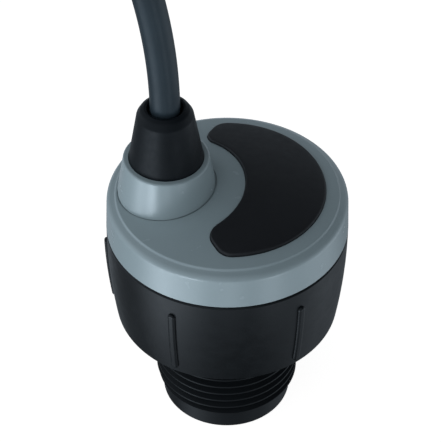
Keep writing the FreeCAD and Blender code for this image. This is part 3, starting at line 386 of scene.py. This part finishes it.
def make_cable():
    """Jacket from inside the cap to its cut end, which is open far enough to show what it holds."""
    start, cut = JACKET_TAIL_HEIGHT - EXIT[1], JACKET_END
    straight, curved = np.arange(-28, 0, 2.0), np.arange(0, cut - 0.5, 0.5)
    profile = [(start, CABLE_RADIUS - 0.4)]
    profile += [(d, CABLE_RADIUS) for d in np.concatenate([[start + 0.2], straight, curved])]
    profile += rounded_end(cut, CABLE_RADIUS, CUT_ROUND, 6)
    profile += [(cut, JACKET_BORE), (cut - CUT_DEPTH, JACKET_BORE - 0.02)]
    points, faces = cable_tube(profile, around=64)
    obj = piece("cable_jacket_skin", points, faces, "jacket_pvc", None, "cable_jacket", "jacket_tail")
    cable_blend(obj)


def make_braid(start):
    end = JACKET_END + BRAID_REACH
    outer, inner = JACKET_BORE - 0.03, JACKET_BORE - 0.03 - BRAID_WALL
    profile = [(start + 0.05, inner), (start + 0.1, outer)]
    profile += [(d, outer) for d in np.arange(start + 0.3, end, 0.3)]
    profile += [(end, outer - 0.08), (end, inner), (start + 0.3, inner - 0.02)]
    points, faces = cable_tube(profile)
    piece("cable_shield_skin", points, faces, "shield_braid", "cable", "cable_shield")


def make_cores(start):
    for colour, side, depth in CORES:
        profile = [(start + 0.4, CORE_RADIUS)]
        profile += [(d, CORE_RADIUS) for d in np.arange(start + 0.6, CORE_END - 0.2, 0.4)]
        profile += rounded_end(CORE_END, CORE_RADIUS, CORE_ROUND, 4)
        profile += [(CORE_END, BUNDLE_RADIUS), (CORE_END - 0.6, BUNDLE_RADIUS - 0.01)]
        points, faces = cable_tube(profile, (side * CORE_OFFSET, depth * CORE_OFFSET), 28)
        piece("lead_%s_skin" % colour, points, faces, "wire_" + colour, "cable", "lead_" + colour)


def make_strands():
    """Seven strands of copper out of each conductor, in one mesh."""
    radius = BUNDLE_RADIUS * 0.33
    all_points, all_faces, total = [], [], 0
    for _, side, depth in CORES:
        centre = (side * CORE_OFFSET, depth * CORE_OFFSET)
        for k in range(STRANDS + 1):
            reach = 0.0 if k == 0 else BUNDLE_RADIUS * 0.66
            angle = TURN * k / STRANDS
            offset = (centre[0] + reach * math.cos(angle), centre[1] + reach * math.sin(angle))
            end = CORE_END + STRAND_LENGTH - STRAND_STAGGER * (k % 3)
            profile = [(CORE_END - 0.5, radius)]
            profile += [(d, radius) for d in np.arange(CORE_END - 0.2, end - 0.1, 0.4)]
            profile += [(end, radius * 0.8)]
            points, faces = cable_tube(profile, offset, 12)
            all_points.append(points)
            all_faces += [tuple(total + i for i in f) for f in faces]
            total += len(points)
    piece("bare_strands_skin", np.concatenate(all_points), all_faces, "copper", "cable", "bare_strands")


def make_boot():
    """A cone with a rounded shoulder and a mouth that draws in round the cable."""
    corners = [(3.3, 66.1, 0), (8.07, 66.1, 0.1), (8.07, 71.2, 0.4), (6.05, 82.9, 1.2), (5.2, 84.3, 1.0),
               (4.3, 84.88, 0.4), (3.85, 84.7, 0.25), (3.55, 83.6, 0.5), (3.4, 82.4, 0.3), (3.3, 80.4, 0)]
    points, faces = lathe(rounded_profile(corners, 6), (BOSS_X, 0.0), 128)
    piece("cable_boot_skin", points, faces, "boot_rubber", "sensor", "cable_boot")


make_cable()
make_braid(JACKET_END - CUT_DEPTH)
make_cores(JACKET_END - CUT_DEPTH)
make_strands()
make_boot()


# ---------------------------------------------------------------- seals


def make_o_ring(name, radius, tube, height, flash=0.05):
    """An O-ring with the fine moulding line round its outside and inside."""
    angles = np.arange(48) * TURN / 48
    reach = tube + flash * np.exp(-np.square(np.sin(angles) / 0.12))
    profile = np.stack([radius + reach * np.cos(angles), height + reach * np.sin(angles)], 1)
    points, faces = lathe(profile)
    piece(name + "_skin", points, faces, "seal_rubber", "sensor", name)


def make_gland_seal():
    """A rubber grommet with three shallow sealing beads round its outside."""
    corners = [(3.25, 58.8, 0.1), (6.7, 58.8, 0.5), (6.85, 59.7, 0.4), (6.55, 60.3, 0.3), (6.85, 60.9, 0.4),
               (6.55, 61.5, 0.3), (6.85, 62.1, 0.4), (6.75, 63.5, 0.5), (3.25, 63.5, 0.1)]
    points, faces = lathe(rounded_profile(corners, 5), (BOSS_X, 0.0), 128)
    piece("gland_seal_skin", points, faces, "seal_rubber", "sensor", "gland_seal")


def make_sleeve():
    """The thin silicone wall round the transducer, slightly rounded where it shows in the sensing face."""
    corners = [(12.36, 0.02, 0.15), (13.14, 0.02, 0.15), (13.14, 15.0, 0.1), (12.36, 15.0, 0.1)]
    points, faces = lathe(rounded_profile(corners, 4))
    piece("decoupling_sleeve_skin", points, faces, "sleeve_silicone", "sensor", "decoupling_sleeve")


make_o_ring("shoulder_o_ring", 19.2, 0.9, 28.5)
make_o_ring("barrel_o_ring", 13.3, 0.48, 29.5)
make_o_ring("cap_o_ring", 22.4, 0.72, 50.15)
make_gland_seal()
make_sleeve()


# ---------------------------------------------------------------- crescent pad

PAD_OUTER = 21.4
PAD_INNER_X = -12.9
PAD_INNER = 16.8
TIP_INNER_X = -5.25
TIP_OUTER_X = -1.6
TIP_INNER_ROUND = 3.6
TIP_OUTER_ROUND = 3.7
PAD_PROUD = 0.7
PAD_SUNK = 0.95
PAD_ROUND = 0.45
PAD_MESH = 1.2


def tip_circle(centre, reach, corner, along, inward, fillet):
    """Centre of a fillet that touches the tip's straight edge, at a given reach from an arc's centre."""
    start = corner + inward * fillet - centre
    b, c = start @ along, start @ start - reach ** 2
    roots = [-b + s * math.sqrt(b * b - c) for s in (1, -1)]
    return centre + start + along * min(roots, key=abs)


def crescent_outline(steps=10):
    """The pad's outline, anticlockwise, with rounded tips."""
    axis, inner = np.array((0.0, 0.0)), np.array((PAD_INNER_X, 0.0))
    low = np.array((TIP_INNER_X, math.sqrt(PAD_INNER ** 2 - (TIP_INNER_X - PAD_INNER_X) ** 2)))
    high = np.array((TIP_OUTER_X, math.sqrt(PAD_OUTER ** 2 - TIP_OUTER_X ** 2)))
    along = (high - low) / np.linalg.norm(high - low)
    inward = np.array((along[1], -along[0]))
    outer_round = tip_circle(axis, PAD_OUTER - TIP_OUTER_ROUND, high, along, inward, TIP_OUTER_ROUND)
    inner_round = tip_circle(inner, PAD_INNER + TIP_INNER_ROUND, low, along, inward, TIP_INNER_ROUND)
    side = math.atan2(-inward[1], -inward[0])
    turn_out = math.atan2(outer_round[1], outer_round[0])
    turn_in = math.atan2(*(inner_round - inner)[::-1])
    upper = np.concatenate([
        arc(axis, PAD_OUTER, 0, turn_out, steps * 9)[:-1],
        arc(outer_round, TIP_OUTER_ROUND, turn_out, side, steps),
        arc(inner_round, TIP_INNER_ROUND, side, turn_in + math.pi, steps),
        arc(inner, PAD_INNER, turn_in, 0, steps * 6)[1:]])
    lower = upper[1:-1][::-1] * (1, -1)
    return np.concatenate([upper, lower])


def inset(outline, depth):
    """The outline moved inwards along its own normals."""
    forward = np.roll(outline, -1, 0) - np.roll(outline, 1, 0)
    forward /= np.linalg.norm(forward, axis=1)[:, None]
    return outline + depth * np.stack([-forward[:, 1], forward[:, 0]], 1)


def filled(outline, spacing):
    """Triangles over the inside of an outline, with extra points on a square grid."""
    xs = np.arange(outline[:, 0].min(), outline[:, 0].max(), spacing)
    ys = np.arange(outline[:, 1].min(), outline[:, 1].max(), spacing)
    inner = inset(outline, spacing * 0.5)
    grid = [(x, y) for x in xs for y in ys if inside(inner, x, y)]
    count = len(outline)
    points = [Vector(p) for p in outline.tolist()] + [Vector(p) for p in grid]
    loop = [(i, (i + 1) % count) for i in range(count)]
    made, _, faces, source, _, _ = delaunay_2d_cdt(points, loop, [list(range(count))], 1, 1e-6)
    return np.array([tuple(p) for p in made]), faces, source


def inside(outline, x, y):
    a, b = outline, np.roll(outline, -1, 0)
    crosses = (a[:, 1] > y) != (b[:, 1] > y)
    with np.errstate(divide="ignore", invalid="ignore"):
        at = a[:, 0] + (y - a[:, 1]) / (b[:, 1] - a[:, 1]) * (b[:, 0] - a[:, 0])
    return int(np.sum(crosses & (x < at))) % 2 == 1


def make_pad():
    outline = crescent_outline()
    rings = [(0.25, -PAD_SUNK), (0.0, 0.25 - PAD_SUNK)]
    for a in np.linspace(0, math.pi / 2, 8):
        rings.append((PAD_ROUND * (1 - math.cos(a)), PAD_PROUD - PAD_ROUND * (1 - math.sin(a))))
    flat = [inset(outline, depth) for depth, _ in rings]
    count = len(outline)
    points, faces = [], strips(len(rings), count, close_rows=False)
    for ring, (_, lift) in zip(flat, rings):
        points.append(np.column_stack([ring, dome(ring[:, 0], ring[:, 1]) + lift]))
    total = len(rings) * count
    top, bottom = (flat[-1], PAD_PROUD, total - count, False), (flat[0], -PAD_SUNK, 0, True)
    for ring, lift, base, flip in (top, bottom):
        made, made_faces, source = filled(ring, PAD_MESH)
        index, extra = [], []
        for p, origin in zip(made, source):
            known = [i for i in origin if i < count]
            if known:
                index.append(base + known[0])
            else:
                index.append(total + len(extra))
                extra.append((p[0], p[1], dome(p[0], p[1]) + lift))
        points.append(np.array(extra).reshape(-1, 3))
        total += len(extra)
        for f in made_faces:
            f = [index[i] for i in f]
            faces.append(f[::-1] if flip else f)
    piece("crescent_pad_skin", np.concatenate(points), faces, "pad_rubber", "sensor", "crescent_pad")


make_pad()


# ---------------------------------------------------------------- stage, light and camera


FLOOR_SIDE = 6.0  # metres either way
FLOOR_DROP = 0.02
FLOOR_COLOR = (0.50, 0.44, 0.39)
FLOOR_GLOW = 0.92


def make_floor():
    """A pale floor with a faint shadow, clear from below, that throws no light on the object."""
    material = bpy.data.materials.new("floor_finish")
    material.use_nodes = True
    g = Graph(material.node_tree)
    diffuse = g.add("ShaderNodeBsdfDiffuse", {"Color": rgba(FLOOR_COLOR)})
    glow = g.add("ShaderNodeEmission", {"Color": rgba(WHITE), "Strength": FLOOR_GLOW})
    both = g.add("ShaderNodeAddShader", {0: diffuse.outputs[0], 1: glow.outputs[0]})
    clear = g.add("ShaderNodeBsdfTransparent")
    below = g.add("ShaderNodeNewGeometry").outputs["Backfacing"]
    sided = g.add("ShaderNodeMixShader", {0: below, 1: both.outputs[0], 2: clear.outputs[0]})
    g.add("ShaderNodeOutputMaterial", {"Surface": sided.outputs[0]})
    side = FLOOR_SIDE
    mesh = bpy.data.meshes.new("floor")
    corners = [(-side, -side, 0), (side, -side, 0), (side, side, 0), (-side, side, 0)]
    mesh.from_pydata(corners, [], [(0, 1, 2, 3)])
    mesh.materials.append(material)
    floor = bpy.data.objects.new("floor", mesh)
    floor.location.z = -FLOOR_DROP * MM
    bpy.context.scene.collection.objects.link(floor)
    floor.visible_diffuse = False
    floor.visible_glossy = False


def aim(azimuth, elevation):
    """Unit vector from the object, in degrees: azimuth 0 is the camera's side and 90 its right."""
    a, e = math.radians(azimuth), math.radians(elevation)
    return (math.sin(a) * math.cos(e), -math.cos(a) * math.cos(e), math.sin(e))


# azimuth, elevation, sharpness and strength of each soft light
LOBES = [
    (-45, -22, 8.0, 1.62),
    (-34, -24, 70.0, 6.2),
    (-62, -34, 40.0, 3.2),
    (2, -31, 70.0, 2.2),
    (90, -20, 8.0, 1.35),
    (-100, 12, 8.0, 1.00),
    (-90, 50, 8.0, 0.48),
    (-25, 30, 8.0, 0.74),
    (-12, 60, 20.0, 0.35),
    (40, -20, 8.0, 0.28),
    (38, -29, 60.0, 3.0),
    (28, 30, 8.0, 0.28),
    (-150, -18, 8.0, 0.40),
    (150, 10, 8.0, 0.48),
    (180, -20, 8.0, 0.45),
]
AMBIENT = 0.01
LIGHT_TINT = (0.88, 1.0, 1.12)


def make_world():
    """A room of soft lights for the object; the camera itself sees plain white."""
    world = bpy.data.worlds.new("studio")
    bpy.context.scene.world = world
    world.use_nodes = True
    g = Graph(world.node_tree)
    direction = g.add("ShaderNodeTexCoord").outputs["Generated"]
    total = AMBIENT
    for azimuth, elevation, sharpness, strength in LOBES:
        facing = g.add("ShaderNodeVectorMath", {0: direction, 1: aim(azimuth, elevation)},
                       operation="DOT_PRODUCT").outputs["Value"]
        falloff = g.math("EXPONENT", g.math("MULTIPLY", g.math("SUBTRACT", facing, 1.0), sharpness))
        total = g.math("ADD", g.math("MULTIPLY", falloff, strength), total)
    light = g.add("ShaderNodeBackground", {"Color": rgba(LIGHT_TINT), "Strength": total})
    seen = g.add("ShaderNodeBackground", {"Color": rgba(WHITE), "Strength": 1.0})
    camera_ray = g.add("ShaderNodeLightPath").outputs["Is Camera Ray"]
    both = g.add("ShaderNodeMixShader", {0: camera_ray, 1: light.outputs[0], 2: seen.outputs[0]})
    g.add("ShaderNodeOutputWorld", {"Surface": both.outputs[0]})


LENS = 138.46154
SENSOR = 36.0
AIM_HEIGHT = 52.0
DISTANCE = 375.8
ELEVATION = 43.319735  # degrees
CAMERA_AZIMUTH = -1.63
PAN, TILT, ROLL = -0.00400723, -0.000101149, -0.0059075  # radians


def make_camera():
    lens = bpy.data.cameras.new("camera")
    lens.sensor_width = SENSOR
    lens.lens = LENS
    lens.clip_start = 0.01
    lens.clip_end = 50.0
    camera = bpy.data.objects.new("camera", lens)
    bpy.context.scene.collection.objects.link(camera)
    back = Vector(aim(CAMERA_AZIMUTH, ELEVATION))
    right = Vector(aim(CAMERA_AZIMUTH + 90, 0))
    up = back.cross(right)
    rows = Matrix((right, up, back))
    turned = Matrix.Rotation(ROLL, 3, "Z") @ Matrix.Rotation(TILT, 3, "X")
    turned = turned @ Matrix.Rotation(PAN, 3, "Y") @ rows
    place = Vector((0, 0, AIM_HEIGHT)) + back * DISTANCE
    camera.matrix_world = Matrix.Translation(place * MM) @ turned.transposed().to_4x4()
    bpy.context.scene.camera = camera


make_floor()
make_world()
make_camera()
scene = bpy.context.scene
scene.view_settings.view_transform = "Standard"
scene.view_settings.look = "None"
scene.cycles.use_denoising = True
